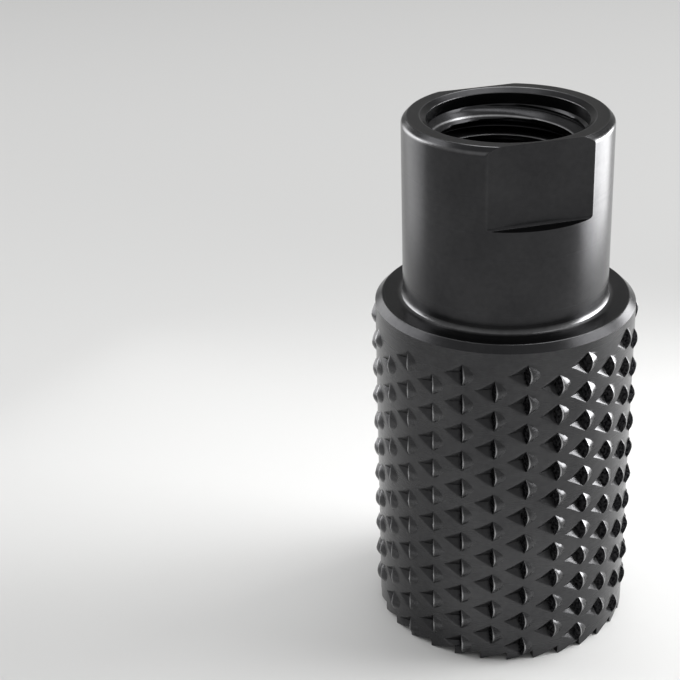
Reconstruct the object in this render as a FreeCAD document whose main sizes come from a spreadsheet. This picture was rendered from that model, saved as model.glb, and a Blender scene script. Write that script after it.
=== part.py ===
# Rotary rasp: a one-piece cup of steel with raised barbs, a ratchet-toothed rim and a threaded hub.
# The cup stands on its rim. Z is the turning axis, Z = 0 is the plane of the rim's tooth tips, and the
# wrench flats face -Y and +Y. Azimuths are counted from -Y towards +X. All lengths are in millimetres.
import FreeCAD, Part
import math
import os

import Sketcher
from FreeCAD import Placement, Rotation, Vector

DOCUMENT = FreeCAD.newDocument("rotary_rasp")
ORIGIN = Vector(0, 0, 0)
AXIS = Vector(0, 0, 1)
FULL_TURN = 360

# Driving dimensions: alias, value, what it is
SIZES = [
    ("cup_diameter", 26.7, "outside of the cup, without the barbs"),
    ("cup_wall", 1.4, "thickness of the cup's wall"),
    ("cup_height", 36.7, "rim tips to the shoulder"),
    ("shoulder_chamfer", 0.7, "break round the shoulder"),
    ("floor_thickness", 3.6, "web between the cup's hollow and the shoulder"),
    ("hub_diameter", 21.0, "outside of the hub"),
    ("hub_height", 19.0, "shoulder to the hub's top face"),
    ("hub_foot_chamfer", 0.4, "inside corner between hub and shoulder"),
    ("hub_top_chamfer", 0.55, "break round the hub's top face"),
    ("flat_spacing", 18.0, "spanner size across the two flats"),
    ("flat_length", 8.3, "length of the flats down from the top face"),
    ("thread_major", 16.0, "nominal diameter of the spindle thread"),
    ("thread_minor", 13.835, "diameter over the thread's crests"),
    ("recess_clearance", 0.1, "recess diameter over the thread's nominal diameter"),
    ("recess_depth", 1.6, "plain recess above the thread"),
    ("rim_tooth_count", 30, "ratchet teeth round the rim"),
    ("rim_tooth_height", 0.95, "height of a rim tooth"),
    ("rim_tip_land", 0.12, "flat left on each tip, on which the cup stands"),
    ("rim_phase", 6.5, "azimuth of one steep rim face, in degrees"),
    ("column_pairs", 13, "pairs of barb columns, the second of a pair half a pitch higher"),
    ("row_pitch", 3.19, "spacing of the barbs along a column, and the climb of a row in one turn"),
    ("column_phase", 16.9, "azimuth of the first column's cutting edges, in degrees"),
    ("first_height", 1.93, "middle of the first column's lowest cutting edge above the rim tips"),
    ("top_margin", 0.35, "plain strip between the barbs and the shoulder's break"),
    ("barb_width", 2.37, "length of a barb's cutting edge along the axis"),
    ("barb_crest", 0.7, "length of the lip's straight crest and of the back's end"),
    ("barb_height", 0.5, "lip above the cup's surface"),
    ("barb_back", 1.45, "cutting edge to the end of the barb's back"),
    ("barb_rake", 30.0, "lean of the cutting face from the radius, in degrees"),
    ("pit_length", 1.85, "point of the pit to the cutting edge"),
    ("pit_depth", 0.55, "deepest point of the pit below the surface"),
    ("cut_margin", 1.0, "overrun of every cutting shape past the metal"),
    ("barb_root", 0.15, "how far a barb's solid reaches into the wall"),
    ("pit_overrun", 0.1, "overrun of a pit's cutter above the surface"),
]


def make_sheet():
    """Puts the driving dimensions into a sheet: name, value with its alias, and meaning."""
    sheet = DOCUMENT.addObject("Spreadsheet::Sheet", "sizes")
    for row, (alias, value, meaning) in enumerate(SIZES, start=1):
        sheet.set(f"A{row}", alias)
        sheet.set(f"B{row}", str(value))
        sheet.setAlias(f"B{row}", alias)
        sheet.set(f"C{row}", meaning)
    DOCUMENT.recompute()
    return sheet


SHEET = make_sheet()


def size(alias):
    """The value of one driving dimension."""
    return float(SHEET.get(alias))


def origin_feature(body, role):
    """One of the body's own origin planes or axes."""
    return next(feature for feature in body.Origin.OriginFeatures if feature.Role == role)


def sketch_on(body, role, name):
    """A sketch that lies on one of the body's origin planes."""
    sketch = body.newObject("Sketcher::SketchObject", name)
    sketch.AttachmentSupport = [(origin_feature(body, role), "")]
    sketch.MapMode = "FlatFace"
    return sketch


def constrain(sketch, kind, *references, expression=None, value=None):
    """Adds a constraint, and ties its value to the sheet where an expression is given."""
    numbers = () if value is None else (value,)
    index = sketch.addConstraint(Sketcher.Constraint(kind, *references, *numbers))
    if expression is not None:
        sketch.setExpression(f"Constraints[{index}]", expression)
    return index


def draw_polygon(sketch, corners):
    """Closed run of lines whose ends coincide; gives the index of each line."""
    points = [Vector(x, y, 0) for x, y in corners]
    lines = []
    for start, end in zip(points, points[1:] + points[:1]):
        lines.append(sketch.addGeometry(Part.LineSegment(start, end), False))
    for line, following in zip(lines, lines[1:] + lines[:1]):
        constrain(sketch, "Coincident", line, 2, following, 1)
    return lines


def turned_profile(body):
    """Half section of the turned blank: cup wall, shoulder, hub, stepped bore and the cup's hollow."""
    sketch = sketch_on(body, "XZ_Plane", "turned_profile")
    cup_outer = size("cup_diameter") / 2
    cup_inner = cup_outer - size("cup_wall")
    shoulder = size("cup_height")
    top = shoulder + size("hub_height")
    ceiling = shoulder - size("floor_thickness")
    break_edge = size("shoulder_chamfer")
    hub = size("hub_diameter") / 2
    foot = size("hub_foot_chamfer")
    top_break = size("hub_top_chamfer")
    recess = (size("thread_major") + size("recess_clearance")) / 2
    bore = size("thread_minor") / 2
    seat = top - size("recess_depth")

    (rim, wall, shoulder_break, shoulder_face, foot_cone, hub_side, hub_break, top_face,
     recess_side, recess_seat, bore_side, ceiling_face, hollow_side) = draw_polygon(
        sketch, [
            (cup_inner, 0), (cup_outer, 0), (cup_outer, shoulder - break_edge),
            (cup_outer - break_edge, shoulder), (hub + foot, shoulder), (hub, shoulder + foot),
            (hub, top - top_break), (hub - top_break, top), (recess, top), (recess, seat),
            (bore, seat - (recess - bore)), (bore, ceiling), (cup_inner, ceiling),
        ])
    for line in (rim, shoulder_face, top_face, ceiling_face):
        constrain(sketch, "Horizontal", line)
    for line in (wall, hub_side, recess_side, bore_side, hollow_side):
        constrain(sketch, "Vertical", line)
    constrain(sketch, "PointOnObject", rim, 1, -1)

    def radius(line, end, value, expression):
        constrain(sketch, "DistanceX", -1, 1, line, end, value=value, expression=expression)

    def height(line, end, value, expression):
        constrain(sketch, "DistanceY", -1, 1, line, end, value=value, expression=expression)

    radius(rim, 1, cup_inner, "sizes.cup_diameter / 2 - sizes.cup_wall")
    radius(rim, 2, cup_outer, "sizes.cup_diameter / 2")
    radius(hub_side, 1, hub, "sizes.hub_diameter / 2")
    radius(recess_side, 1, recess, "(sizes.thread_major + sizes.recess_clearance) / 2")
    radius(bore_side, 1, bore, "sizes.thread_minor / 2")
    height(shoulder_face, 1, shoulder, "sizes.cup_height")
    height(top_face, 1, top, "sizes.cup_height + sizes.hub_height")
    height(ceiling_face, 1, ceiling, "sizes.cup_height - sizes.floor_thickness")
    height(recess_side, 2, seat, "sizes.cup_height + sizes.hub_height - sizes.recess_depth")

    for line, value, alias in ((shoulder_break, break_edge, "sizes.shoulder_chamfer"),
                               (foot_cone, foot, "sizes.hub_foot_chamfer"),
                               (hub_break, top_break, "sizes.hub_top_chamfer")):
        constrain(sketch, "DistanceX", line, 2, line, 1, value=value, expression=alias)
        constrain(sketch, "DistanceY", line, 1, line, 2, value=value, expression=alias)
    lead = "(sizes.thread_major + sizes.recess_clearance - sizes.thread_minor) / 2"
    constrain(sketch, "DistanceY", recess_seat, 2, recess_seat, 1, value=recess - bore, expression=lead)
    return sketch


def turn_blank(body):
    """Revolves the half section round the cup's axis."""
    profile = turned_profile(body)
    blank = body.newObject("PartDesign::Revolution", "turned_blank")
    blank.Profile = profile
    blank.ReferenceAxis = (origin_feature(body, "Z_Axis"), [""])
    blank.Angle = FULL_TURN
    profile.Visibility = False
    return blank


def mill_flats(body):
    """Two wrench flats, cut down from the hub's top face, parallel to the XZ plane."""
    sketch = sketch_on(body, "XY_Plane", "flat_outlines")
    sketch.setExpression("AttachmentOffset.Base.z", "sizes.cup_height + sizes.hub_height")
    reach = size("hub_diameter") / 2 + size("cut_margin")
    near = size("flat_spacing") / 2
    reach_expression = "sizes.hub_diameter / 2 + sizes.cut_margin"
    for side in (1, -1):
        corners = [(-reach, side * near), (reach, side * near), (reach, side * reach), (-reach, side * reach)]
        inner, right, outer, left = draw_polygon(sketch, corners)
        for line in (inner, outer):
            constrain(sketch, "Horizontal", line)
        for line in (left, right):
            constrain(sketch, "Vertical", line)
        constrain(sketch, "DistanceX", -1, 1, right, 1, value=reach, expression=reach_expression)
        constrain(sketch, "DistanceX", left, 1, -1, 1, value=reach, expression=reach_expression)
        for line, value, expression in ((inner, near, "sizes.flat_spacing / 2"),
                                        (outer, reach, reach_expression)):
            ends = (-1, 1, line, 1) if side > 0 else (line, 1, -1, 1)
            constrain(sketch, "DistanceY", *ends, value=value, expression=expression)
    flats = body.newObject("PartDesign::Pocket", "wrench_flats")
    flats.Profile = sketch
    flats.setExpression("Length", "sizes.flat_length")
    sketch.Visibility = False
    return flats


def rim_notches():
    """Cutters of the rim's ratchet teeth, from the axis outwards through the wall and the lowest barbs.

    Each has a steep face in a radial plane and a ramp that falls to the next tip.
    """
    count = round(size("rim_tooth_count"))
    step = FULL_TURN / count
    radius = size("cup_diameter") / 2
    run = radius * math.sin(math.radians(step)) - size("rim_tip_land")
    margin = size("cut_margin")
    outline = [Vector(-run, 0, 0), Vector(0, 0, size("rim_tooth_height")), Vector(0, 0, -margin),
               Vector(-run, 0, -margin)]
    face = Part.Face(Part.makePolygon(outline + outline[:1]))
    notch = face.extrude(Vector(0, -(radius + margin), 0))
    return [notch.rotated(ORIGIN, AXIS, size("rim_phase") + tooth * step) for tooth in range(count)]


def closed_solid(faces):
    """Solid from flat faces, each given by its corners in order."""
    shell = Part.Shell([Part.Face(Part.makePolygon(list(corners) + [corners[0]])) for corners in faces])
    solid = Part.Solid(shell)
    if solid.Volume < 0:
        solid.reverse()
    return solid


def local_point(along, axial, outward):
    """Point by its offsets from the middle of a cutting edge that lies at azimuth 0, height 0."""
    return Vector(along, -(size("cup_diameter") / 2 + outward), axial)


def barb_solid():
    """Raised barb: a flat cutting face with a blunt lip, and a back of three flats down to the surface."""
    half = size("barb_width") / 2
    crest = size("barb_crest") / 2
    lift = size("barb_height")
    root = size("barb_root")
    reach = size("barb_back")
    lean = math.tan(math.radians(size("barb_rake")))

    def lip(axial, outward):
        return local_point(outward * lean, axial, outward)

    lower, upper = lip(-half, 0), lip(half, 0)
    lower_peak, upper_peak = lip(-crest, lift), lip(crest, lift)
    lower_root, upper_root = lip(-half, -root), lip(half, -root)
    lower_tail, upper_tail = local_point(reach, -crest, -root), local_point(reach, crest, -root)
    return closed_solid([
        (lower_root, lower, lower_peak, upper_peak, upper, upper_root),
        (lower_peak, lower_tail, upper_tail, upper_peak),
        (upper, upper_peak, upper_tail),
        (lower, lower_tail, lower_peak),
        (upper_root, upper, upper_tail),
        (lower_root, lower_tail, lower),
        (lower_root, upper_root, upper_tail, lower_tail),
    ])


def pit_cutter():
    """Three-sided pit in front of a barb: two flanks that meet in a valley, and the cutting face."""
    radius = size("cup_diameter") / 2
    turn = size("pit_length") / radius
    half = size("barb_width") / 2
    depth = size("pit_depth")
    lean = math.tan(math.radians(size("barb_rake")))
    bottom = local_point(-depth * lean, 0, -depth)
    point = Vector(-radius * math.sin(turn), -radius * math.cos(turn), 0)
    lower, upper = local_point(0, -half, 0), local_point(0, half, 0)
    stretch = 1 + size("pit_overrun") / depth
    point, lower, upper = [bottom + (corner - bottom) * stretch for corner in (point, lower, upper)]
    return closed_solid([
        (bottom, point, upper),
        (bottom, upper, lower),
        (bottom, lower, point),
        (point, lower, upper),
    ])


def barb_places():
    """Azimuth and height of every cutting edge that lies whole between the rim and the top margin.

    Neighbouring columns stand half a pitch apart, and the rows climb by one pitch in a turn.
    """
    columns = 2 * round(size("column_pairs"))
    pitch = size("row_pitch")
    lowest = size("barb_width") / 2
    highest = size("cup_height") - size("shoulder_chamfer") - size("top_margin") - lowest
    places = []
    for column in range(columns):
        azimuth = size("column_phase") + column * FULL_TURN / columns
        lift = size("first_height") + pitch * (column / columns + column % 2 / 2) - lowest
        height = lowest + lift % pitch
        while height <= highest:
            places.append((azimuth, height))
            height += pitch
    return places


def repeated(solid):
    """Copies of a solid, one at every barb."""
    copies = []
    for azimuth, height in barb_places():
        copies.append(solid.copy())
        copies[-1].rotate(ORIGIN, AXIS, azimuth)
        copies[-1].translate(Vector(0, 0, height))
    return copies


def shape_feature(name, shape):
    """Feature that holds the one solid of a shape, placed at the origin."""
    feature = DOCUMENT.addObject("Part::Feature", name)
    feature.Label = name
    feature.Shape = shape.Solids[0] if len(shape.Solids) == 1 else shape
    feature.Placement = Placement()
    return feature


def make_rasp():
    """The whole rasp: turned blank with its flats, then the pits, the barbs and last the rim's teeth."""
    body = DOCUMENT.addObject("PartDesign::Body", "plain_cup")
    blank = turn_blank(body)
    flats = mill_flats(body)
    DOCUMENT.recompute()
    pitted = body.Shape.cut(repeated(pit_cutter()))
    barbed = pitted.fuse(repeated(barb_solid())).removeSplitter()
    toothed = barbed.cut(rim_notches())
    for larger, smaller, change in ((blank.Shape, flats.Shape, "the flats"), (body.Shape, pitted, "the pits"),
                                    (barbed, pitted, "the barbs"), (barbed, toothed, "the rim's teeth")):
        if not larger.Volume > smaller.Volume:
            raise RuntimeError(f"{change} changed no metal")
    return shape_feature("rasp_body", toothed)


def check_and_write(parts):
    """Stops on any failed object or shape, then writes each sub-part to its own file."""
    DOCUMENT.recompute()
    for item in DOCUMENT.Objects:
        if {"Invalid", "Error"} & set(item.State):
            raise RuntimeError(f"{item.Name} failed: {item.State}")
    for part in parts:
        if part.Shape.isNull() or not part.Shape.isValid():
            raise RuntimeError(f"{part.Label} has no valid shape")
        if len(part.Shape.Solids) != 1:
            raise RuntimeError(f"{part.Label} is in {len(part.Shape.Solids)} pieces")
    os.makedirs("parts", exist_ok=True)
    for part in parts:
        part.Shape.exportStep(os.path.join("parts", f"{part.Label}.step"))
        box = part.Shape.BoundBox
        print(f"{part.Label}: {box.XLength:.2f} x {box.YLength:.2f} x {box.ZLength:.2f} mm,"
              f" {part.Shape.Volume / 1000:.2f} cm3")


check_and_write([make_rasp()])
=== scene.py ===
import logging
import math
from dataclasses import dataclass
from enum import Enum

import bmesh
import bpy
import numpy as np
from mathutils import Matrix, Vector


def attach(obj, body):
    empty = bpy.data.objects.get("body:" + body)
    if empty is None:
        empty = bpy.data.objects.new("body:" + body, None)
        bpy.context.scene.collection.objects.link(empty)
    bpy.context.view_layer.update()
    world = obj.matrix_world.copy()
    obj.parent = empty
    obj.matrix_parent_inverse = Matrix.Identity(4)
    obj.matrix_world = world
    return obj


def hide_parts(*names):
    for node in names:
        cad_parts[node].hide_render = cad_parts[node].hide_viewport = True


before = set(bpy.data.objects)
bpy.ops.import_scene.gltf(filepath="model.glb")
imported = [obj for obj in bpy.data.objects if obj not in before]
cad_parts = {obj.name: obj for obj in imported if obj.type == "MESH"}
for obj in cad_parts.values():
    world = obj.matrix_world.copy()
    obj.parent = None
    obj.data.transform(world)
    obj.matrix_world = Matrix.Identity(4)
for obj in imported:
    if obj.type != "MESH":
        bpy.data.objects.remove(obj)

LOG = logging.getLogger("rotary_rasp")
MM = 0.001
FULL_TURN = 2 * math.pi
TOLERANCE = 1e-6
TINY = 1e-9
WHITE = (1.0, 1.0, 1.0, 1.0)
NODE = "rasp_body"
BODY = "root"

Colour = tuple[float, float, float, float]


@dataclass(frozen=True)
class CupSizes:
    """Plain cup, in millimetres: outside, wall, shoulder and the break round the shoulder."""

    radius: float = 13.35
    wall: float = 1.4
    height: float = 36.7
    shoulder_break: float = 0.7
    ceiling: float = 33.1
    ceiling_corner: float = 0.5


@dataclass(frozen=True)
class BarbSizes:
    """One stitched barb and its pit, and how they repeat, in millimetres and degrees."""

    pairs: int = 13
    pitch: float = 3.19
    first_height: float = 1.93
    top_margin: float = 0.35
    phase: float = 16.9
    half_width: float = 1.185
    height: float = 0.49
    back: float = 1.25
    rake: float = 30.0
    pit_length: float = 1.95
    pit_depth: float = 0.55
    bulge: float = 1.35
    point: float = 1.8
    uneven: float = 0.09
    chip: float = 0.13
    waves: float = 4.0
    marks: tuple[float, float] = (12.9898, 78.233)
    drifts: tuple[float, float] = (2.3, 1.7)


@dataclass(frozen=True)
class RimSizes:
    """Ratchet teeth of the open rim, in millimetres and degrees."""

    count: int = 30
    height: float = 0.95
    land: float = 0.12
    phase: float = 6.5
    lines: int = 13


@dataclass(frozen=True)
class HubSizes:
    """Hub with its two wrench flats, in millimetres."""

    radius: float = 10.5
    top: float = 55.7
    foot_radius: float = 0.6
    ledge_radius: float = 0.3
    top_break: float = 0.55
    flat: float = 9.0
    ledge: float = 47.4
    recess: float = 8.05
    mouth_break: float = 0.42
    mouth_reach: float = 0.62
    seat: float = 54.1


@dataclass(frozen=True)
class ThreadSizes:
    """Right-hand spindle thread in the hub, in millimetres."""

    minor: float = 6.9175
    major: float = 8.0
    pitch: float = 2.0
    crest_share: float = 0.25
    root_share: float = 0.125
    steps: int = 16
    lines: int = 144


class Side(Enum):
    """Which way a light stands from the rasp, as seen by the camera."""

    LEFT = "left"
    RIGHT = "right"
    BEHIND = "behind"
    BACK_LEFT = "back_left"
    BACK_RIGHT = "back_right"


@dataclass
class Surface:
    """Grid of points that closes round the turning axis, with shares of rubbed edge and painted highlight,
    and of sheared metal and painted shade.

    Rows follow the metal so that the azimuth's direction crossed with the rows' direction points out of it.
    On a helical grid the link gives, for each row of the last line, the row of the first that continues it.
    """

    points: np.ndarray
    wear_and_highlight: np.ndarray
    torn_and_shade: np.ndarray | None = None
    link: np.ndarray | None = None


def revolved(azimuth: np.ndarray, radius: np.ndarray, height: np.ndarray) -> np.ndarray:
    """Points at an azimuth counted from -Y towards +X.

    Args:
        azimuth: Angles in radians.
        radius: Distances from the turning axis.
        height: Heights above the rim's tips.

    Returns:
        Array with a last axis of three coordinates, in the inputs' unit.
    """
    azimuth, radius, height = np.broadcast_arrays(azimuth, radius, height)
    return np.stack([radius * np.sin(azimuth), -radius * np.cos(azimuth), height], axis=-1)


def ring_quads(rows: int, lines: int, link: np.ndarray | None) -> np.ndarray:
    """Corner numbers of the quads of a grid whose last line joins its first.

    Args:
        rows: Number of rows of points.
        lines: Number of points round the axis.
        link: Row of the first line that continues each row of the last, or None where they are the same.

    Returns:
        Array of shape (quads, 4).
    """
    index = np.arange(rows * lines).reshape(rows, lines)
    continued = index[:, :1] if link is None else index[link, :1]
    following = np.concatenate([index[:, 1:], continued], axis=1)
    return np.stack([index[:-1], following[:-1], following[1:], index[1:]], axis=-1).reshape(-1, 4)


class MeshPiece:
    """A computed surface turned into a finished object."""

    weld = TOLERANCE
    crease = math.radians(28)

    def __init__(self, name: str, surface: Surface) -> None:
        """Builds the object.

        Args:
            name: Name of the object and of its mesh.
            surface: Points in millimetres and their shares.
        """
        rows, lines, _ = surface.points.shape
        quads = ring_quads(rows, lines, surface.link)
        mesh = bpy.data.meshes.new(name)
        mesh.vertices.add(rows * lines)
        mesh.vertices.foreach_set("co", (surface.points * MM).astype(np.float32).ravel())
        mesh.loops.add(quads.size)
        mesh.loops.foreach_set("vertex_index", quads.astype(np.int32).ravel())
        mesh.polygons.add(len(quads))
        mesh.polygons.foreach_set("loop_start", np.arange(0, quads.size, 4, dtype=np.int32))
        torn_and_shade = np.zeros_like(surface.wear_and_highlight) if surface.torn_and_shade is None else surface.torn_and_shade
        # Per point: rubbed metal with a painted highlight, and sheared metal with painted shade.
        for label, share in (("wear_and_highlight", surface.wear_and_highlight), ("torn_and_shade", torn_and_shade)):
            layer = mesh.attributes.new(label, "FLOAT", "POINT")
            layer.data.foreach_set("value", share.astype(np.float32).ravel())
        mesh.update(calc_edges=True)
        self._join_doubles(mesh)
        mesh.shade_smooth()
        mesh.set_sharp_from_angle(angle=self.crease)
        self.object = bpy.data.objects.new(name, mesh)
        bpy.context.scene.collection.objects.link(self.object)
        LOG.info("%s: %d faces", name, len(mesh.polygons))

    def _join_doubles(self, mesh: bpy.types.Mesh) -> None:
        """Merges points that coincide, so that seams close and empty faces vanish."""
        work = bmesh.new()
        work.from_mesh(mesh)
        bmesh.ops.remove_doubles(work, verts=work.verts, dist=self.weld)
        bmesh.ops.dissolve_degenerate(work, edges=work.edges, dist=self.weld)
        work.to_mesh(mesh)
        work.free()

    def dress(self, material: bpy.types.Material, slot: str) -> "MeshPiece":
        """Gives the piece its finish and lets it stand for the CAD node.

        Args:
            material: Material of the whole piece.
            slot: Name of a material slot, not used.

        Returns:
            The piece itself.
        """
        self.object.data.materials.append(material)
        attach(self.object, BODY)
        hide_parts(NODE)
        return self


@dataclass(frozen=True)
class Corner:
    """Corner of a turned half section, in millimetres, with the length cut back for its rounding."""

    radius: float
    height: float
    rounding: float = 0.0
    milled: bool = False


class TurnedProfile:
    """Half section made of straight runs and rounded corners.

    One more row on each side of a rounded corner holds the straight runs flat in the shading.
    """

    arc_shares = (0.0, 0.25, 0.5, 0.75, 1.0)
    hold = 1.5

    def __init__(self, corners: list[Corner]) -> None:
        """Rounds every corner that has a rounding.

        Args:
            corners: Corners in the order in which the surface runs.
        """
        rows: list[tuple[float, float, bool, float]] = []
        for number, corner in enumerate(corners):
            here = np.array([corner.radius, corner.height])
            if corner.rounding == 0 or number in (0, len(corners) - 1):
                rows.append((corner.radius, corner.height, corner.milled, 0.0))
                continue
            back = self._towards(corners[number - 1], here)
            ahead = self._towards(corners[number + 1], here)
            start, end = here + back * corner.rounding, here + ahead * corner.rounding
            rows.append((*(here + back * corner.rounding * self.hold), corner.milled, 0.0))
            # The last value rises to one in the middle of each rounded corner: rubbed metal with a painted
            # highlight.
            for share in self.arc_shares:
                point = (1 - share) ** 2 * start + 2 * share * (1 - share) * here + share ** 2 * end
                rows.append((*point, corner.milled, 4 * share * (1 - share)))
            rows.append((*(here + ahead * corner.rounding * self.hold), corner.milled, 0.0))
        self.radius = np.array([row[0] for row in rows])
        self.height = np.array([row[1] for row in rows])
        self.milled = np.array([row[2] for row in rows])
        self.wear_and_highlight = np.array([row[3] for row in rows])

    @staticmethod
    def _towards(other: Corner, here: np.ndarray) -> np.ndarray:
        """Unit direction from one corner to another."""
        way = np.array([other.radius, other.height]) - here
        return way / np.linalg.norm(way)


class RimTeeth:
    """Ratchet teeth of the open rim: their outline as azimuths and heights of one line of points."""

    def __init__(self, sizes: RimSizes, radius: float, start: float) -> None:
        """Works out the outline.

        Each tooth has a steep face, a narrow land at its tip and a ramp that rises to the next steep face,
        so two points share the azimuth of each steep face.

        Args:
            sizes: Sizes of the teeth.
            radius: Outside of the cup, which turns the land's length into an angle.
            start: Azimuth in radians next to which the outline begins.
        """
        step = FULL_TURN / sizes.count
        land = sizes.land / radius
        share = (np.arange(sizes.lines) - 1) / (sizes.lines - 2)
        within = np.where(share < 0, 0.0, land + share * (step - land))
        rise = np.clip(share, 0.0, 1.0) * sizes.height
        nearest = math.floor((start - math.radians(sizes.phase)) / step)
        tooth = nearest + np.arange(sizes.count)[:, None]
        azimuth = (math.radians(sizes.phase) + tooth * step + within).ravel()
        height = np.tile(rise, sizes.count)
        first = int(np.argmin(np.abs(azimuth - start)))
        self.azimuth = np.concatenate([azimuth[first:], azimuth[:first] + FULL_TURN])
        self.height = np.roll(height, -first)


class BarbedWall:
    """Outside of the cup: a cylinder with raised barbs, their pits, and the rim's outline below.

    Its grid lines run along each pit's outline, along the foot and the lip of each cutting face and round
    each barb's back, so that every sharp form lies on an edge of the mesh. Its rows climb by one pitch of
    the barbs in a turn, as the barbs do.

    Attributes:
        left: How far ahead of its cutting edge each column begins, in millimetres.
        pit_lines: Steps of the grid from a pit's tip to the foot of the cutting face.
        back_lines: Steps from the lip to the end of the barb's back.
        inner_steps: Rows on each half of a barb.
        outer_steps: Rows from a barb's end to half way to the next barb.
        spread: Least distance of lines that would meet at a barb's ends.
        first_column: Number of the seam's column, counted from the one at the barbs' phase.
        calm: Height from which the rows climb.
        crest: Height up to which they climb.
        rim_shares: Shares of the way from the rim's outline up to the climbing rows.
        sheared: Share of that way on which the lines turn from the teeth's azimuths to the columns'.
        face_share: Place of the line under the lip, as a share of the cutting face.
        pit_tear_and_shade: How much the flanks of a pit are sheared, which also darkens them with painted
            shade.
        tear_and_shade_from: Relief from which sheared metal and its painted shade show in full, in
            millimetres.
    """

    left = 2.0
    pit_lines = 5
    back_lines = 6
    inner_steps = 5
    outer_steps = 3
    spread = 0.012
    first_column = -16
    calm = 1.0
    crest = 35.97
    rim_shares = (0.0, 0.12, 0.26, 0.4, 0.55, 0.7, 0.85)
    sheared = 0.26
    face_share = 0.88
    pit_tear_and_shade = 0.25
    tear_and_shade_from = 0.08

    def __init__(self, cup: CupSizes, barbs: BarbSizes, rim: RimSizes) -> None:
        """Keeps the sizes and works out how the grid repeats.

        Args:
            cup: Sizes of the plain cup.
            barbs: Sizes and spacing of the barbs.
            rim: Sizes of the rim's teeth.
        """
        self.cup = cup
        self.barbs = barbs
        self.columns = 2 * barbs.pairs
        self.step = FULL_TURN / self.columns
        self.lines = 2 + self.pit_lines + 1 + 1 + self.back_lines
        self.half_steps = self.inner_steps + self.outer_steps
        self.lean = math.tan(math.radians(barbs.rake))
        self.start = math.radians(barbs.phase) + self.first_column * self.step - self.left / cup.radius
        self.teeth = RimTeeth(rim, cup.radius, self.start)

    def _lowest(self, column: np.ndarray) -> np.ndarray:
        """Middle of the lowest whole cutting edge of each column, counted from the seam."""
        b = self.barbs
        lift = b.first_height + b.pitch * ((column + self.first_column) / self.columns + column % 2 / 2)
        return b.half_width + np.mod(lift - b.half_width, b.pitch)

    def _last_row(self, lowest: np.ndarray) -> np.ndarray:
        """Number of the highest whole barb above the lowest one of a column."""
        b, cup = self.barbs, self.cup
        highest = cup.height - cup.shoulder_break - b.top_margin - b.half_width
        return np.floor((highest - lowest) / b.pitch)

    def relief(self, azimuth: np.ndarray, height: np.ndarray) -> np.ndarray:
        """Height of the surface over the plain cylinder.

        In front of a cutting edge the pit is the higher of two planes: a flank, which sinks in proportion
        to the distance from the pit's straight outline, and the cutting face, whose height is the distance
        from the edge divided by the tangent of its lean. Behind the edge the barb is the lower of the
        cutting face and a back. The lip and the back's outline on the surface both follow one minus a power
        of the distance from the barb's middle, and between them the back falls by one minus a power of the
        share of the way. No two lips are alike: each is lower by its own share and has its own waves, both
        from sines of the numbers of its column and its row.

        Args:
            azimuth: Angles in radians.
            height: Heights above the rim's tips, in millimetres.

        Returns:
            Heights over the cylinder in millimetres, negative in a pit.
        """
        b = self.barbs
        turned = azimuth - self.start
        column = np.floor(turned / self.step + TOLERANCE)
        along = (turned - column * self.step) * self.cup.radius - self.left
        lowest = self._lowest(column)
        row = np.clip(np.round((height - lowest) / b.pitch), 0, self._last_row(lowest))
        offset = height - lowest - row * b.pitch
        axial = np.abs(offset)
        mark = b.marks[0] * column + b.marks[1] * row
        low = b.uneven * (0.5 + 0.5 * np.sin(mark))
        shift, bend = (drift * mark for drift in b.drifts)
        wave = b.chip * (0.5 + 0.5 * np.sin(shift + (b.waves + np.sin(bend)) * offset))

        outline = b.half_width * (along + b.pit_length) / b.pit_length
        over_foot = b.half_width * (b.pit_length - b.pit_depth * self.lean) / b.pit_length
        flank = b.pit_depth / over_foot * (axial - outline)
        cutting = along / self.lean
        pit = np.minimum(0.0, np.maximum(flank, cutting))

        rounded = np.clip(1 - (axial / b.half_width) ** b.point, 0.0, 1.0)
        lip = b.height * rounded * (1 - low) * (1 - wave)
        reach = np.maximum(b.back * rounded - lip * self.lean, TINY)
        share = np.clip((along - lip * self.lean) / reach, 0.0, 1.0)
        barb = np.maximum(0.0, np.minimum(cutting, lip * (1 - share ** b.bulge)))
        return np.where(along > 0, np.where(axial < b.half_width, barb, 0.0), pit)

    def _barb_rows(self, offset: np.ndarray, below: np.ndarray,
                   above: np.ndarray) -> tuple[np.ndarray, np.ndarray]:
        """Grid rows of one barb.

        Args:
            offset: Distance of each row from the barb's middle along the cutting edge, in millimetres.
            below: Distance from the middle down to the even row under the barb.
            above: Distance from the middle up to the even row over the barb.

        Returns:
            Offsets along the cup's circumference and along its axis, with a last axis of lines.
        """
        b = self.barbs
        sign, distance = np.sign(offset), np.abs(offset)
        end = np.where(offset < 0, below, above)
        share = np.clip(distance / b.half_width, 0.0, 1.0)
        outwards = np.clip((distance - b.half_width) / np.maximum(end - b.half_width, TINY), 0.0, 1.0)
        rounded = 1 - share ** b.point
        foot = -b.pit_depth * self.lean * (1 - share) - self.spread * share
        lip = b.height * self.lean * rounded + self.spread * share
        tail = b.back * rounded + (2 + self.back_lines) * self.spread * share ** 4
        pit_share = np.arange(self.pit_lines + 1) / self.pit_lines
        back_share = np.arange(self.back_lines + 1) / self.back_lines
        pit_along = -b.pit_length + pit_share * (foot + b.pit_length)
        back_along = lip + back_share * (tail - lip)
        under_lip = foot + self.face_share * (lip - foot)
        along = np.concatenate([pit_along, under_lip, back_along], axis=-1)
        wide = np.concatenate([pit_share + self.spread * (1 - pit_share), np.ones(self.back_lines + 2)])
        axial = sign * share * b.half_width * wide
        return (along + outwards * (self._even_along()[1:] - along),
                axial + outwards * (sign * end - axial))

    def _even_along(self) -> np.ndarray:
        """Evenly spaced lines of one column, as offsets along the circumference."""
        return -self.left + self.step * self.cup.radius * np.arange(self.lines) / self.lines

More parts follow.
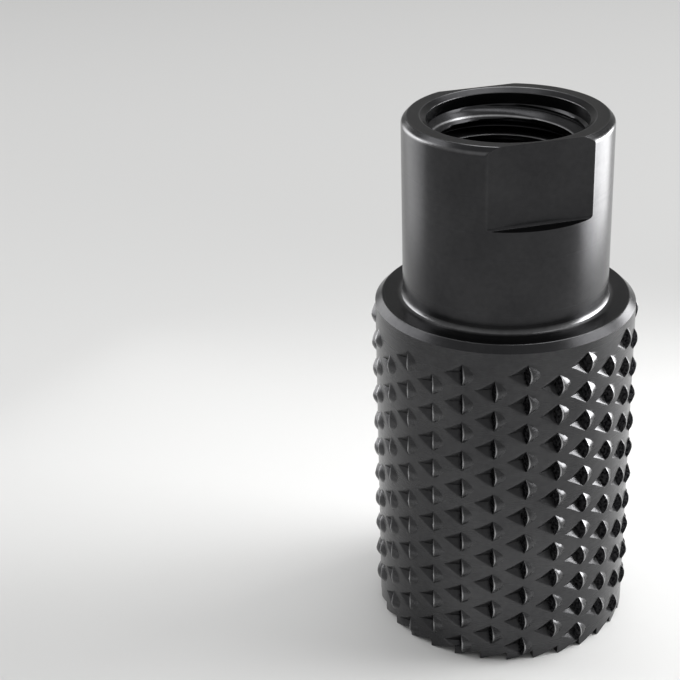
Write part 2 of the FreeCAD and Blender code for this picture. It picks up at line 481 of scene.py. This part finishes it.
    def _column(self, column: int) -> tuple[np.ndarray, np.ndarray]:
        """Grid of one column, with as many rows as every other.

        Rows are counted so that the same row climbs evenly from column to column. Rows past the lowest or
        the highest barb are plain, and what would pass the wall's ends is held there.

        Args:
            column: Number of the column, counted from the seam.

        Returns:
            Offsets along the circumference and heights, of shape (rows, lines).
        """
        b = self.barbs
        per_pitch = 2 * self.half_steps
        climb = b.pitch / per_pitch
        base = b.first_height + b.pitch * (column + self.first_column) / self.columns
        rows = np.arange(math.floor((self.calm - b.first_height - b.pitch) / climb),
                         math.ceil((self.crest - b.first_height + b.pitch) / climb) + 1)
        shifted = rows - self.half_steps * (column % 2) + self.half_steps
        number = shifted % per_pitch - self.half_steps
        middle = base + b.pitch * (column % 2 / 2 + shifted // per_pitch)
        lowest = float(self._lowest(np.array(float(column))))
        last = float(self._last_row(np.array(lowest)))
        barbed = (middle > lowest - climb) & (middle < lowest + last * b.pitch + climb)

        inner = np.minimum(np.abs(number), self.inner_steps) / self.inner_steps
        outer = np.clip((np.abs(number) - self.inner_steps) / self.outer_steps, 0.0, 1.0)
        below = np.clip(middle - self.calm, 0.0, b.pitch / 2)
        above = np.clip(self.crest - middle, 0.0, b.pitch / 2)
        end = np.where(number < 0, below, above)
        edge = np.minimum(b.half_width, end)
        reach = np.sin(math.pi / 2 * inner) * b.half_width + outer * (end - edge)
        offset = np.sign(number) * np.minimum(reach, end)
        along, axial = self._barb_rows(offset[:, None], below[:, None], above[:, None])
        border = np.full((len(rows), 1), -self.left)
        plain = middle + number * climb
        along = np.concatenate([border, along], axis=1)
        height = np.concatenate([plain[:, None], middle[:, None] + axial], axis=1)
        along = np.where(barbed[:, None], along, self._even_along())
        height = np.where(barbed[:, None], height, plain[:, None])
        if lowest - self.calm < b.half_width:
            first = int(np.argmax(barbed))
            along[:first] = along[first]
            height[:first] = height[first]
        return along, np.clip(height, self.calm, self.crest)

    def surface(self) -> Surface:
        """The whole wall, from the rim's outline up to the lower edge of the shoulder's break.

        Returns:
            Grid of points with a painted highlight on rubbed lips, and painted shade on sheared cutting
            faces and pits.
        """
        b, cup = self.barbs, self.cup
        grids = [self._column(column) for column in range(self.columns)]
        along = np.concatenate([grid[0] for grid in grids], axis=1)
        height = np.concatenate([grid[1] for grid in grids], axis=1)
        offset = math.radians(b.phase) + self.step * (self.first_column + np.arange(self.columns))
        azimuth = along / cup.radius + np.repeat(offset, self.lines)

        shares = np.array(self.rim_shares)[:, None]
        followed = np.minimum(shares / self.sheared, 1.0)
        rim_azimuth = self.teeth.azimuth + followed * (azimuth[0] - self.teeth.azimuth)
        rim_height = self.teeth.height + shares * (height[0] - self.teeth.height)
        top = np.full_like(height[-1:], cup.height - cup.shoulder_break)
        climbing = len(height)
        azimuth = np.concatenate([rim_azimuth, azimuth, azimuth[-1:]])
        height = np.concatenate([rim_height, height, top])

        link = np.arange(len(height))
        middle = slice(len(shares), len(shares) + climbing)
        link[middle] = np.minimum(link[middle] + 2 * self.half_steps, len(shares) + climbing - 1)
        relief = self.relief(azimuth, height)
        wear_and_highlight = np.zeros_like(relief)
        # Along each lip: rubbed metal with a painted highlight, as strong as the lip is high.
        lip_line = 1 + self.pit_lines + 2
        wear_and_highlight[:, lip_line::self.lines] = np.clip(relief[:, lip_line::self.lines] / b.height, 0.0, 1.0)
        order = np.arange(azimuth.shape[1]) % self.lines
        # Cutting faces fully and pit flanks partly get sheared grain and painted shade, growing with the
        # relief.
        cut = np.where(order > self.pit_lines, 1.0, self.pit_tear_and_shade)
        torn_and_shade = np.where(order < lip_line, cut, 0.0) * np.clip(np.abs(relief) / self.tear_and_shade_from, 0.0, 1.0)
        self.edge_radius = cup.radius + relief[0]
        self.even_azimuth = azimuth[-1]
        return Surface(revolved(azimuth, cup.radius + relief, height), wear_and_highlight, torn_and_shade, link)


class CupInside:
    """Hollow of the cup and the end faces of its rim teeth, from the bore out to the wall and down."""

    ceiling_rows = (9.4, 10.8)
    wall_rows = (27.0, 20.0, 13.0, 7.0, 3.4)
    blend_rows = (2.2, 1.25)
    last_blend = 0.5
    rim_shares = (0.04, 0.5, 0.96, 1.0)
    outer_wear_and_highlight = 1.0
    inner_wear_and_highlight = 0.6

    def __init__(self, cup: CupSizes, hub: HubSizes, wall: BarbedWall) -> None:
        """Keeps the sizes and the wall whose lower edge it joins.

        Args:
            cup: Sizes of the plain cup.
            hub: Sizes of the hub, for the bore in the ceiling.
            wall: Finished outside wall.
        """
        self.cup = cup
        self.hub = hub
        self.wall = wall

    def surface(self) -> Surface:
        """The inside as one grid.

        Returns:
            Grid of points with rubbed metal and a painted highlight along the rim's edges.
        """
        cup, teeth = self.cup, self.wall.teeth
        inner = cup.radius - cup.wall
        profile = TurnedProfile([
            Corner(self.hub.recess, cup.ceiling),
            Corner(inner, cup.ceiling, cup.ceiling_corner),
            Corner(inner, self.wall_rows[0]),
        ])
        radius = np.concatenate([profile.radius[:1], self.ceiling_rows, profile.radius[1:]])
        height = np.concatenate([profile.height[:1], np.full(len(self.ceiling_rows), cup.ceiling),
                                 profile.height[1:]])
        lower = np.array(self.wall_rows[1:] + self.blend_rows)
        radius = np.concatenate([radius, np.full(len(lower), inner)])[:, None]
        height = np.concatenate([height, lower])[:, None]
        even = self.wall.even_azimuth
        blend = np.zeros((len(radius), 1))
        blend[-1] = self.last_blend
        azimuth = even + blend * (teeth.azimuth - even)
        body = revolved(azimuth, radius, height)

        shares = np.array((0.0,) + self.rim_shares)[:, None]
        rim = revolved(teeth.azimuth, inner + shares * (self.wall.edge_radius - inner), teeth.height)
        points = np.concatenate([body, rim])
        wear_and_highlight = np.zeros(points.shape[:2])
        # The rim's outer and inner edges get rubbed metal with a painted highlight.
        wear_and_highlight[-1] = self.outer_wear_and_highlight
        wear_and_highlight[len(body)] = self.inner_wear_and_highlight
        return Surface(points, wear_and_highlight)


class Hub:
    """Shoulder, hub with two wrench flats, top face and the recess over the thread.

    Attributes:
        below_ledge: Depth of the ring that holds the turned surface just under the ledge, in millimetres.
        ledge_rows: Rings of the fillet over the ledge.
        flat_lines: Steps of the grid across each flat.
        side_lines: Steps round each turned side.
        edge: Length cut back for a small rounding, in millimetres.
        soft_edge: The same for the upper edge of the hub.
        turned_wear_and_highlight: How far a turned edge is rubbed through and lit with a painted highlight.
        milled_wear_and_highlight: How far the corners of the flats are rubbed through and lit with a
            painted highlight.
    """

    below_ledge = 0.1
    ledge_rows = 6
    flat_lines = 44
    side_lines = 76
    edge = 0.09
    soft_edge = 0.25
    turned_wear_and_highlight = 0.3
    milled_wear_and_highlight = 0.04

    def __init__(self, cup: CupSizes, sizes: HubSizes) -> None:
        """Keeps the sizes.

        Args:
            cup: Sizes of the plain cup.
            sizes: Sizes of the hub.
        """
        self.cup = cup
        self.sizes = sizes

    def _profile(self) -> TurnedProfile:
        """Half section from the wall's upper edge to the thread."""
        cup, hub, edge = self.cup, self.sizes, self.edge
        turn = np.linspace(0.0, math.pi / 2, self.ledge_rows)
        filleted = hub.ledge + hub.ledge_radius * (1 - np.cos(turn))
        return TurnedProfile([
            Corner(cup.radius, cup.height - cup.shoulder_break),
            Corner(cup.radius - cup.shoulder_break, cup.height, edge),
            Corner(hub.radius, cup.height, hub.foot_radius),
            Corner(hub.radius, hub.ledge - self.below_ledge),
            Corner(hub.radius, hub.ledge),
            *(Corner(hub.radius, float(height), milled=True) for height in filleted),
            Corner(hub.radius, hub.top - hub.top_break, self.soft_edge, True),
            Corner(hub.radius - hub.top_break, hub.top, edge, True),
            Corner(hub.recess + hub.mouth_reach, hub.top, edge),
            Corner(hub.recess, hub.top - hub.mouth_break, edge / 2),
            Corner(hub.recess, hub.seat),
        ])

    def _flat_distance(self, height: np.ndarray) -> np.ndarray:
        """Distance of the flats from the turning axis, which a fillet widens just over the ledge.

        Over the ledge the surface follows a quarter circle whose middle lies one fillet's radius outside
        the flat and over the ledge.

        Args:
            height: Heights of the rings.

        Returns:
            Distances, in the same shape.
        """
        hub = self.sizes
        drop = np.clip((hub.ledge + hub.ledge_radius - height) / hub.ledge_radius, 0.0, 1.0)
        return hub.flat + hub.ledge_radius * (1 - np.sqrt(1 - drop ** 2))

    def _azimuths(self, profile: TurnedProfile) -> np.ndarray:
        """Angles of every ring, with a line on each corner of the flats."""
        hub = self.sizes
        upper = hub.radius - hub.top_break
        reach = np.where(profile.milled, np.clip(profile.radius, upper, hub.radius), hub.radius)
        reach = np.where((profile.height > hub.ledge) & ~profile.milled, upper, reach)
        corner = np.arccos(self._flat_distance(profile.height) / reach)[:, None]
        flat = np.arange(self.flat_lines) / self.flat_lines
        side = np.arange(self.side_lines) / self.side_lines
        half = np.concatenate([-corner + 2 * corner * flat, corner + (math.pi - 2 * corner) * side], axis=1)
        return np.concatenate([half, half + math.pi], axis=1)

    def surface(self) -> Surface:
        """The hub as one grid.

        Rings above the ledge are turned first, and what stands out past a flat is moved straight back
        onto it, which gives the flat its exact outline.

        Returns:
            Grid of points with rubbed metal and a painted highlight along the turned and milled edges.
        """
        profile = self._profile()
        azimuth = self._azimuths(profile)
        points = revolved(azimuth, profile.radius[:, None], profile.height[:, None])
        limit = np.where(profile.milled, self._flat_distance(profile.height), np.inf)[:, None]
        cut = np.abs(points[..., 1]) > limit - TOLERANCE
        points[..., 1] = np.clip(points[..., 1], -limit, limit)
        # Rounded turned edges and the flats' corners get rubbed metal with a painted highlight.
        wear_and_highlight = np.where(cut, 0.0, profile.wear_and_highlight[:, None] * self.turned_wear_and_highlight)
        corners = [0, self.flat_lines]
        corners += [line + self.flat_lines + self.side_lines for line in corners]
        wear_and_highlight[np.ix_(profile.milled, corners)] = self.milled_wear_and_highlight
        return Surface(points, wear_and_highlight)


class SpindleThread:
    """Right-hand thread in the hub, whose grid rows climb with the helix."""

    polish_and_highlight = 1.0

    def __init__(self, cup: CupSizes, hub: HubSizes, sizes: ThreadSizes) -> None:
        """Keeps the sizes.

        Args:
            cup: Sizes of the plain cup, for the thread's lower end.
            hub: Sizes of the hub, for its upper end.
            sizes: Sizes of the thread.
        """
        self.cup = cup
        self.hub = hub
        self.sizes = sizes

    def surface(self) -> Surface:
        """The threaded bore from the recess down to the ceiling of the cup.

        The radius depends on the phase, which is the height divided by the pitch less the azimuth's share
        of a turn: it is the minor radius within half a crest of whole phases, the major radius half a turn
        away, and straight between. The recess's cone cuts the thread off at its upper end.

        Returns:
            Grid of points with rubbed metal and a painted highlight along the crest's upper edge.
        """
        thread, top, low = self.sizes, self.hub.seat, self.cup.ceiling
        climb = np.arange(thread.lines) / thread.lines
        step = thread.pitch / thread.steps
        rows = round((top - low + thread.pitch) / step) + 1
        height = top - np.arange(rows)[:, None] * step + thread.pitch * climb
        height = np.clip(height, low, top)
        phase = np.mod(height / thread.pitch - climb + 0.5, 1.0) - 0.5
        crest, root = thread.crest_share / 2, (1 - thread.root_share) / 2
        depth = np.clip((np.abs(phase) - crest) / (root - crest), 0.0, 1.0)
        radius = thread.minor + depth * (thread.major - thread.minor)
        cone = self.hub.recess - (top - height)
        radius = np.maximum(radius, cone)
        points = revolved(FULL_TURN * climb, radius, height)
        edge = revolved(FULL_TURN * climb, self.hub.recess, low)[None]
        points = np.concatenate([points, edge])
        # A narrow band on the crest's upper edge gets rubbed metal with a painted highlight.
        polished_and_highlighted = (np.abs(phase - crest) < 0.5 / thread.steps) & (radius < thread.major)
        wear_and_highlight = np.concatenate([np.where(polished_and_highlighted, self.polish_and_highlight, 0.0), np.zeros((1, thread.lines))])
        link = np.maximum(np.arange(rows + 1) - thread.steps, 0)
        link[-1] = rows
        return Surface(points, wear_and_highlight, link=link)


class Mixed(Enum):
    """What a Mix node mixes, with the numbers of its two inputs and of its output."""

    FLOAT = (2, 3, 0)
    VECTOR = (4, 5, 1)
    RGBA = (6, 7, 2)


class NodeTree:
    """Small helper that adds nodes and links to one node tree."""

    def __init__(self, tree: bpy.types.NodeTree) -> None:
        """Keeps the tree.

        Args:
            tree: Tree of a material, a world or a group.
        """
        self.tree = tree

    def add(self, kind: str, inputs: dict | None = None, **settings: object) -> bpy.types.Node:
        """Adds one node.

        Args:
            kind: Type name of the node.
            inputs: Values or output sockets for its inputs, by name or number.
            settings: Properties of the node.

        Returns:
            The new node.
        """
        node = self.tree.nodes.new(kind)
        for name, value in settings.items():
            setattr(node, name, value)
        for name, value in (inputs or {}).items():
            if isinstance(value, bpy.types.NodeSocket):
                self.tree.links.new(value, node.inputs[name])
            else:
                node.inputs[name].default_value = value
        return node

    def maths(self, operation: str, *values: object) -> bpy.types.NodeSocket:
        """Adds a Math node.

        Args:
            operation: Name of the operation.
            values: Numbers or sockets, in order.

        Returns:
            Its result.
        """
        return self.add("ShaderNodeMath", dict(enumerate(values)), operation=operation).outputs[0]

    def mapped(self, value: bpy.types.NodeSocket, source: tuple[float, float],
               target: tuple[float, float] = (0.0, 1.0)) -> bpy.types.NodeSocket:
        """Adds a Map Range node.

        Args:
            value: Socket with the value.
            source: Range that the value comes from.
            target: Range that it goes to.

        Returns:
            Its result.
        """
        inputs = {"Value": value, "From Min": source[0], "From Max": source[1],
                  "To Min": target[0], "To Max": target[1]}
        return self.add("ShaderNodeMapRange", inputs).outputs[0]

    def mix(self, kind: Mixed, share: bpy.types.NodeSocket, first: object,
            second: object) -> bpy.types.NodeSocket:
        """Adds a Mix node.

        Args:
            kind: What is mixed.
            share: Share of the second value.
            first: First value or socket.
            second: Second value or socket.

        Returns:
            Its result.
        """
        low, high, result = kind.value
        node = self.add("ShaderNodeMix", {"Factor": share, low: first, high: second}, data_type=kind.name)
        return node.outputs[result]

    def noise(self, place: bpy.types.NodeSocket, scale: float, detail: float) -> bpy.types.NodeSocket:
        """Adds a Noise Texture node.

        Args:
            place: Socket with the coordinates.
            scale: Noise cells in each metre.
            detail: Number of finer layers.

        Returns:
            Its value.
        """
        inputs = {"Vector": place, "Scale": scale, "Detail": detail}
        return self.add("ShaderNodeTexNoise", inputs).outputs[0]

    def bump(self, height: bpy.types.NodeSocket, strength: float, depth: float) -> bpy.types.NodeSocket:
        """Adds a Bump node.

        Args:
            height: Socket with the height as a share of the depth.
            strength: How strongly the bump shows.
            depth: Depth in metres.

        Returns:
            Its normal.
        """
        inputs = {"Strength": strength, "Distance": depth, "Height": height}
        return self.add("ShaderNodeBump", inputs).outputs[0]


def new_group(name: str, outputs: dict[str, str]) -> tuple[bpy.types.NodeTree, NodeTree, bpy.types.Node]:
    """Makes an empty node group.

    Args:
        name: Name of the group.
        outputs: Socket type of each output, by name.

    Returns:
        The group, a helper for it and its output node.
    """
    group = bpy.data.node_groups.new(name, "ShaderNodeTree")
    for label, kind in outputs.items():
        group.interface.new_socket(label, in_out="OUTPUT", socket_type=kind)
    helper = NodeTree(group)
    return group, helper, helper.add("NodeGroupOutput")


def new_material(name: str) -> tuple[bpy.types.Material, NodeTree]:
    """Makes an empty material.

    Args:
        name: Name of the material.

    Returns:
        The material and a helper for its nodes.
    """
    material = bpy.data.materials.new(name)
    material.use_nodes = True
    material.node_tree.nodes.clear()
    return material, NodeTree(material.node_tree)


class TurningMarks:
    """Node group for fine rings left by turning: noise that changes with radius and height only."""

    strength = 0.08
    detail = 3.0

    def __init__(self, ring_scale: float, depth: float) -> None:
        """Builds the group.

        Args:
            ring_scale: Rings in each metre.
            depth: Height of the marks in metres.
        """
        self.group, tree, out = new_group(
            "TurningMarks", {"Value": "NodeSocketFloat", "Normal": "NodeSocketVector"})
        place = tree.add("ShaderNodeTexCoord").outputs["Object"]
        split = tree.add("ShaderNodeSeparateXYZ", {0: place})
        flat = tree.add("ShaderNodeCombineXYZ", {0: split.outputs[0], 1: split.outputs[1]}).outputs[0]
        radius = tree.add("ShaderNodeVectorMath", {0: flat}, operation="LENGTH").outputs["Value"]
        rings = tree.add("ShaderNodeCombineXYZ", {0: radius, 2: split.outputs[2]}).outputs[0]
        value = tree.noise(rings, ring_scale, self.detail)
        tree.tree.links.new(value, out.inputs["Value"])
        tree.tree.links.new(tree.bump(value, self.strength, depth), out.inputs["Normal"])


class TornGrain:
    """Node group for the coarse grain of metal that the stitching punch tore open."""

    strength = 0.8
    detail = 4.0

    def __init__(self, scale: float, depth: float) -> None:
        """Builds the group.

        Args:
            scale: Noise cells in each metre.
            depth: Height of the grain in metres.
        """
        self.group, tree, out = new_group(
            "TornGrain", {"Value": "NodeSocketFloat", "Normal": "NodeSocketVector"})
        place = tree.add("ShaderNodeTexCoord").outputs["Object"]
        share = tree.add("ShaderNodeAttribute", attribute_name="torn_and_shade").outputs["Fac"]
        value = tree.noise(place, scale, self.detail)
        height = tree.maths("MULTIPLY", value, share)
        tree.tree.links.new(value, out.inputs["Value"])
        tree.tree.links.new(tree.bump(height, self.strength, depth), out.inputs["Normal"])


class OxideMottle:
    """Node group for the uneven tone of a blackened surface."""

    finer = 14
    broad_share = 0.7
    broad_detail = 5.0
    fine_detail = 2.0

    def __init__(self, scale: float) -> None:
        """Builds the group.

        Args:
            scale: Size of the patches, in noise cells for each metre.
        """
        self.group, tree, out = new_group("OxideMottle", {"Value": "NodeSocketFloat"})
        place = tree.add("ShaderNodeTexCoord").outputs["Object"]
        broad = tree.noise(place, scale, self.broad_detail)
        fine = tree.noise(place, scale * self.finer, self.fine_detail)
        mixed = tree.maths("ADD", tree.maths("MULTIPLY", broad, self.broad_share),
                           tree.maths("MULTIPLY", fine, 1 - self.broad_share))
        tree.tree.links.new(mixed, out.inputs["Value"])


@dataclass(frozen=True)
class BlackenedSteel:
    """Satin black steel with rubbed metal and painted highlights along edges, and sheared faces darkened
    with painted shade.

    The ranges are those stretches of a noise's value that are spread over the whole change of a finish.
    """

    name: str = "blackened_steel"
    dark: Colour = (0.032, 0.032, 0.034, 1.0)
    light: Colour = (0.064, 0.064, 0.066, 1.0)
    # Colour of rubbed metal, also the colour of the painted edge highlights.
    bare_and_highlight: Colour = (0.62, 0.62, 0.63, 1.0)
    # Near-black colour of sheared faces: painted shade.
    torn_and_shade: Colour = (0.006, 0.006, 0.007, 1.0)
    roughness: tuple[float, float] = (0.225, 0.275)
    torn_roughness: float = 0.42
    # Dim specular tint of sheared faces: painted shade.
    torn_shade_sheen: Colour = (0.12, 0.12, 0.12, 1.0)
    edge_falloff: float = 1.2
    thinnest: float = 0.55
    patch_range: tuple[float, float] = (0.35, 0.65)
    cloud_range: tuple[float, float] = (0.2, 0.8)
    ring_range: tuple[float, float] = (0.3, 0.7)

    def material(self, marks: TurningMarks, mottle: OxideMottle, grain: TornGrain) -> bpy.types.Material:
        """Builds the material.

        Args:
            marks: Group with the turning marks.
            mottle: Group with the uneven tone.
            grain: Group with the grain of torn metal.

        Returns:
            The material.
        """
        material, tree = new_material(self.name)
        ringed = tree.add("ShaderNodeGroup", node_tree=marks.group)
        patchy = tree.add("ShaderNodeGroup", node_tree=mottle.group).outputs["Value"]
        grained = tree.add("ShaderNodeGroup", node_tree=grain.group)
        worn_and_highlighted = tree.add("ShaderNodeAttribute", attribute_name="wear_and_highlight").outputs["Fac"]
        torn_and_shade = tree.add("ShaderNodeAttribute", attribute_name="torn_and_shade").outputs["Fac"]

        # Rubbed metal with a painted highlight along edges, narrowed by a power and broken up by the
        # mottle.
        narrow = tree.maths("POWER", worn_and_highlighted, self.edge_falloff)
        bared_and_highlighted = tree.maths("MULTIPLY", narrow, tree.mapped(patchy, self.patch_range, (self.thinnest, 1.0)))
        speckled = tree.mapped(grained.outputs["Value"], self.patch_range, (1.0, self.thinnest))
        torn_and_shade = tree.maths("MULTIPLY", torn_and_shade, speckled)

        tone = tree.mix(Mixed.RGBA, tree.mapped(patchy, self.cloud_range), self.dark, self.light)
        # Sheared faces are darkened with painted shade.
        tone = tree.mix(Mixed.RGBA, torn_and_shade, tone, self.torn_and_shade)
        colour = tree.mix(Mixed.RGBA, bared_and_highlighted, tone, self.bare_and_highlight)
        rough = tree.mapped(ringed.outputs["Value"], self.ring_range, self.roughness)
        rough = tree.mix(Mixed.FLOAT, torn_and_shade, rough, self.torn_roughness)
        normal = tree.mix(Mixed.VECTOR, torn_and_shade, ringed.outputs["Normal"], grained.outputs["Normal"])
        # Sheared faces also reflect less through a dim specular tint: painted shade.
        sheen_with_shade = tree.mix(Mixed.RGBA, torn_and_shade, WHITE, self.torn_shade_sheen)
        shader = tree.add("ShaderNodeBsdfPrincipled", {
            "Base Color": colour, "Roughness": rough, "Metallic": 1.0, "Specular Tint": sheen_with_shade,
            "Normal": normal})
        tree.add("ShaderNodeOutputMaterial", {"Surface": shader.outputs[0]})
        return material


@dataclass(frozen=True)
class PaleBoard:
    """Plain matt board for the floor and the backdrop."""

    name: str = "pale_board"
    colour: Colour = (0.66, 0.66, 0.655, 1.0)
    roughness: float = 0.85
    gloss: float = 0.2

    def material(self) -> bpy.types.Material:
        """Builds the material.

        Returns:
            The material.
        """
        material, tree = new_material(self.name)
        shader = tree.add("ShaderNodeBsdfPrincipled", {
            "Base Color": self.colour, "Roughness": self.roughness, "Specular IOR Level": self.gloss})
        tree.add("ShaderNodeOutputMaterial", {"Surface": shader.outputs[0]})
        return material


@dataclass(frozen=True)
class PhotoView:
    """The photograph's viewpoint, in millimetres, degrees and pixels, and how near and far it shows."""

    focal: float = 1632.8
    picture: float = 680.0
    sensor: float = 36.0
    distance: float = 153.95
    height: float = 106.39
    pan: float = 6.385
    tilt: float = 26.045
    roll: float = -1.844
    turn: float = -21.02
    nearest: float = 5.0
    furthest: float = 20000.0

    def camera(self) -> bpy.types.Object:
        """Builds the camera.

        Returns:
            The camera object, with its place in metres.
        """
        pan, tilt, roll = (math.radians(angle) for angle in (self.pan, self.tilt, self.roll))
        forward = Vector((-math.sin(pan) * math.cos(tilt), math.cos(pan) * math.cos(tilt), -math.sin(tilt)))
        level = Vector((math.cos(pan), math.sin(pan), 0.0))
        upward = level.cross(forward)
        right = level * math.cos(roll) + upward * math.sin(roll)
        upward = upward * math.cos(roll) - level * math.sin(roll)
        frame_matrix = Matrix((right, upward, -forward)).transposed().to_4x4()
        frame_matrix.translation = Vector((0.0, -self.distance, self.height)) * MM
        data = bpy.data.cameras.new("camera")
        data.sensor_width = self.sensor
        data.lens = self.focal / self.picture * self.sensor
        data.clip_start = self.nearest * MM
        data.clip_end = self.furthest * MM
        camera = bpy.data.objects.new("camera", data)
        camera.matrix_world = Matrix.Rotation(math.radians(self.turn), 4, "Z") @ frame_matrix
        bpy.context.scene.collection.objects.link(camera)
        bpy.context.scene.camera = camera
        return camera


@dataclass(frozen=True)
class SoftBox:
    """One soft area light: direction from the camera, distance and size in metres, power and spread."""

    side: Side
    azimuth: float
    elevation: float
    distance: float
    width: float
    length: float
    power: float
    spread: float = 180.0
    target: float = 0.028

    def build(self, facing: float) -> bpy.types.Object:
        """Builds the light, aimed at the middle of the rasp.

        Args:
            facing: Azimuth of the camera in degrees, from -Y towards +X.

        Returns:
            The light object.
        """
        data = bpy.data.lights.new(f"light_{self.side.value}", "AREA")
        data.shape = "RECTANGLE"
        data.size = self.width
        data.size_y = self.length
        data.energy = self.power
        data.spread = math.radians(self.spread)
        around, up = math.radians(facing + self.azimuth), math.radians(self.elevation)
        target = Vector((0.0, 0.0, self.target))
        place = target + self.distance * Vector((math.sin(around) * math.cos(up),
                                                 -math.cos(around) * math.cos(up), math.sin(up)))
        light = bpy.data.objects.new(data.name, data)
        light.visible_camera = False
        aim = (target - place).to_track_quat("-Z", "Y").to_matrix().to_4x4()
        light.matrix_world = Matrix.Translation(place) @ aim
        bpy.context.scene.collection.objects.link(light)
        return light


class Studio:
    """Pale floor that curves up into a backdrop, soft lights and a faint even surround, in metres."""

    half_width = 2.5
    front = 2.0
    back = 1.6
    curve = 0.9
    wall = 2.6
    bend_rows = 25
    surround = 0.42
    boxes = (
        SoftBox(Side.LEFT, -100.0, 30.0, 0.42, 0.16, 0.34, 0.5),
        SoftBox(Side.RIGHT, 96.0, 30.0, 0.42, 0.20, 0.34, 0.9),
        SoftBox(Side.BEHIND, 165.0, 66.0, 0.50, 0.34, 0.34, 0.9),
        SoftBox(Side.BACK_LEFT, -116.0, 10.0, 0.085, 0.07, 0.07, 0.013, 80.0),
        SoftBox(Side.BACK_RIGHT, 110.0, 6.0, 0.09, 0.09, 0.056, 0.065, 90.0),
    )

    def __init__(self, view: PhotoView) -> None:
        """Keeps the viewpoint that the lights are counted from.

        Args:
            view: The photograph's viewpoint.
        """
        self.facing = view.turn

    def _sweep(self) -> bpy.types.Object:
        """Floor and backdrop as one strip: flat, a quarter circle, and a wall."""
        bend = np.linspace(0.0, math.pi / 2, self.bend_rows)
        rise = self.back + self.curve * np.sin(bend)
        depth = np.concatenate([[-self.front], rise, [self.back + self.curve]])
        height = np.concatenate([[0.0], self.curve * (1 - np.cos(bend)), [self.wall]])
        side = np.array([-self.half_width, self.half_width])
        points = np.stack(np.broadcast_arrays(side[None, :], depth[:, None], height[:, None]), axis=-1)
        index = np.arange(points[..., 0].size).reshape(len(depth), 2)
        quads = np.stack([index[:-1, 0], index[:-1, 1], index[1:, 1], index[1:, 0]], axis=-1)
        mesh = bpy.data.meshes.new("floor")
        mesh.from_pydata(points.reshape(-1, 3).tolist(), [], quads.tolist())
        mesh.shade_smooth()
        floor = bpy.data.objects.new("floor", mesh)
        floor.rotation_euler.z = math.radians(self.facing)
        bpy.context.scene.collection.objects.link(floor)
        return floor

    def build(self) -> None:
        """Builds floor, lights and surround."""
        floor = self._sweep()
        floor.data.materials.append(PaleBoard().material())
        for box in self.boxes:
            box.build(self.facing)
        world = bpy.data.worlds.new("surround")
        world.use_nodes = True
        world.node_tree.nodes.clear()
        tree = NodeTree(world.node_tree)
        light = tree.add("ShaderNodeBackground", {"Color": WHITE, "Strength": self.surround})
        tree.add("ShaderNodeOutputWorld", {"Surface": light.outputs[0]})
        bpy.context.scene.world = world
        LOG.info("studio: %d lights", len(self.boxes))


class Rasp:
    """The whole rasp as four pieces that stand for its one solid."""

    slot = "steel"

    def __init__(self) -> None:
        """Gathers the sizes and the finish."""
        self.cup = CupSizes()
        self.hub = HubSizes()
        self.wall = BarbedWall(self.cup, BarbSizes(), RimSizes())
        marks = TurningMarks(ring_scale=9000.0, depth=0.00002)
        mottle = OxideMottle(scale=130.0)
        grain = TornGrain(scale=3800.0, depth=0.0005)
        self.turned = BlackenedSteel().material(marks, mottle, grain)
        # Lighter copy of the steel for the barbed wall: the sheet's own rougher finish and a painted sheen.
        self.stitched = BlackenedSteel(
            name="stitched_steel_with_sheen", dark=(0.044, 0.044, 0.046, 1.0), light=(0.09, 0.09, 0.092, 1.0),
            roughness=(0.26, 0.31)).material(marks, mottle, grain)

    def build(self) -> list[bpy.types.Object]:
        """Builds and dresses every piece.

        Returns:
            The finished objects.
        """
        cup, hub = self.cup, self.hub
        pieces = [
            (MeshPiece("barbed_wall", self.wall.surface()), self.stitched),
            (MeshPiece("cup_inside", CupInside(cup, hub, self.wall).surface()), self.turned),
            (MeshPiece("hub", Hub(cup, hub).surface()), self.turned),
            (MeshPiece("spindle_thread", SpindleThread(cup, hub, ThreadSizes()).surface()), self.turned),
        ]
        return [piece.dress(finish, self.slot).object for piece, finish in pieces]


def main() -> None:
    """Builds the rasp, the camera and the studio."""
    logging.basicConfig(level=logging.INFO)
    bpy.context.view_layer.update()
    Rasp().build()
    view = PhotoView()
    view.camera()
    Studio(view).build()
    bpy.context.scene.view_settings.view_transform = "Standard"


if __name__ == "__main__":
    main()
